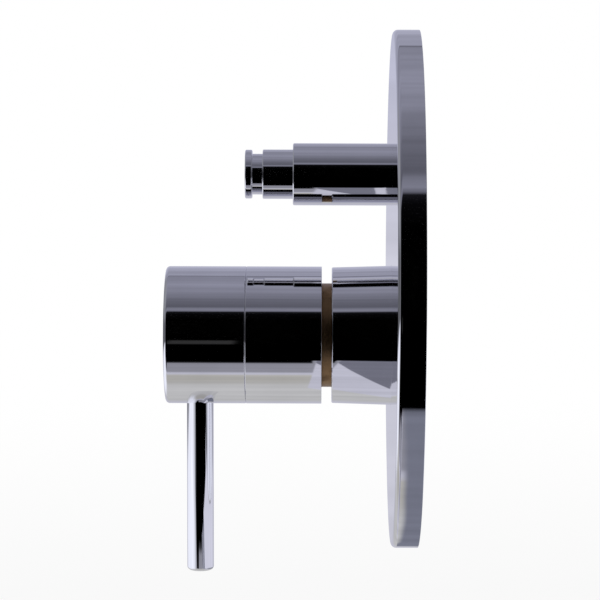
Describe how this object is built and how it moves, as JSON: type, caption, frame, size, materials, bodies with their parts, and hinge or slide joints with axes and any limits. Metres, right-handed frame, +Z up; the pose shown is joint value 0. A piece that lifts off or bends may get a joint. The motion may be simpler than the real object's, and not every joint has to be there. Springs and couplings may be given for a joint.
{
  "type": "shower diverter valve",
  "caption": "Wall shower mixer with round trim plate, cylindrical lever handle on a sleeve below and a sprung pull diverter knob above.",
  "frame": {"origin": "centre of the round plate on the plane of the finished wall", "axes": "+Z up, +X to the right seen from the front, -Y out of the wall towards the user"},
  "size_m": [0.18, 0.0878, 0.1902],
  "materials": {
    "polished_plate": "polished",
    "gasket_foam": "closed cell foam",
    "seal_rubber": "matte",
    "polished_sleeve": "polished",
    "raw_brass": "cast and turned",
    "grey_plastic": "moulded",
    "lapped_ceramic": "lapped",
    "white_plastic": "moulded",
    "turned_steel": "turned",
    "polished_handle": "polished",
    "polished_lever": "polished",
    "spring_steel": "turned",
    "polished_knob": "polished"
  },
  "bodies": {
    "fixed": {"cover_plate": "polished_plate", "plate_gasket": "gasket_foam", "mixer_sleeve_seal": "seal_rubber", "diverter_sleeve_seal": "seal_rubber", "mixer_sleeve": "polished_sleeve", "diverter_sleeve": "polished_sleeve", "valve_body": "raw_brass", "wall_port_seals": "seal_rubber", "cartridge_base": "grey_plastic", "cartridge_port_seals": "seal_rubber", "fixed_disc": "lapped_ceramic", "cartridge_housing": "white_plastic", "cartridge_nut": "raw_brass", "diverter_bonnet": "raw_brass", "bonnet_washer": "seal_rubber", "stem_seal": "seal_rubber", "diverter_spring": "spring_steel"},
    "spindle": {"spindle_guide": "grey_plastic", "pivot_pin": "turned_steel"},
    "handle": {"lever_stem": "turned_steel", "handle_ring": "polished_handle", "handle_screw": "turned_steel", "handle_cap": "polished_handle", "lever": "polished_lever"},
    "disc_slider": {"moving_disc": "lapped_ceramic", "disc_carrier": "white_plastic"},
    "diverter": {"diverter_stem": "turned_steel", "diverter_piston": "raw_brass", "piston_washers": "seal_rubber", "piston_screw": "turned_steel", "diverter_knob": "polished_knob"}
  },
  "joints": [
    {"name": "handle_turn", "type": "hinge", "parent": "fixed", "child": "spindle", "pos_m": [0, 0, -0.0164], "axis": [0, -1, 0], "range_deg": [-50, 50]},
    {"name": "handle_lift", "type": "hinge", "parent": "spindle", "child": "handle", "pos_m": [0, -0.0335, -0.0164], "axis": [-1, 0, 0], "range_deg": [0, 7]},
    {"name": "disc_slide", "type": "slide", "parent": "spindle", "child": "disc_slider", "axis": [0, 0, -1], "range_m": [0, 0.0014]},
    {"name": "diverter_pull", "type": "slide", "parent": "fixed", "child": "diverter", "axis": [0, -1, 0], "range_m": [0, 0.007], "stiffness_N_per_m": 300, "springref_m": -0.005, "deforming": ["diverter_spring"]}
  ],
  "couplings": [
    {"joint": "disc_slide", "follows": "handle_lift", "m_per_rad": 0.01125}
  ]
}
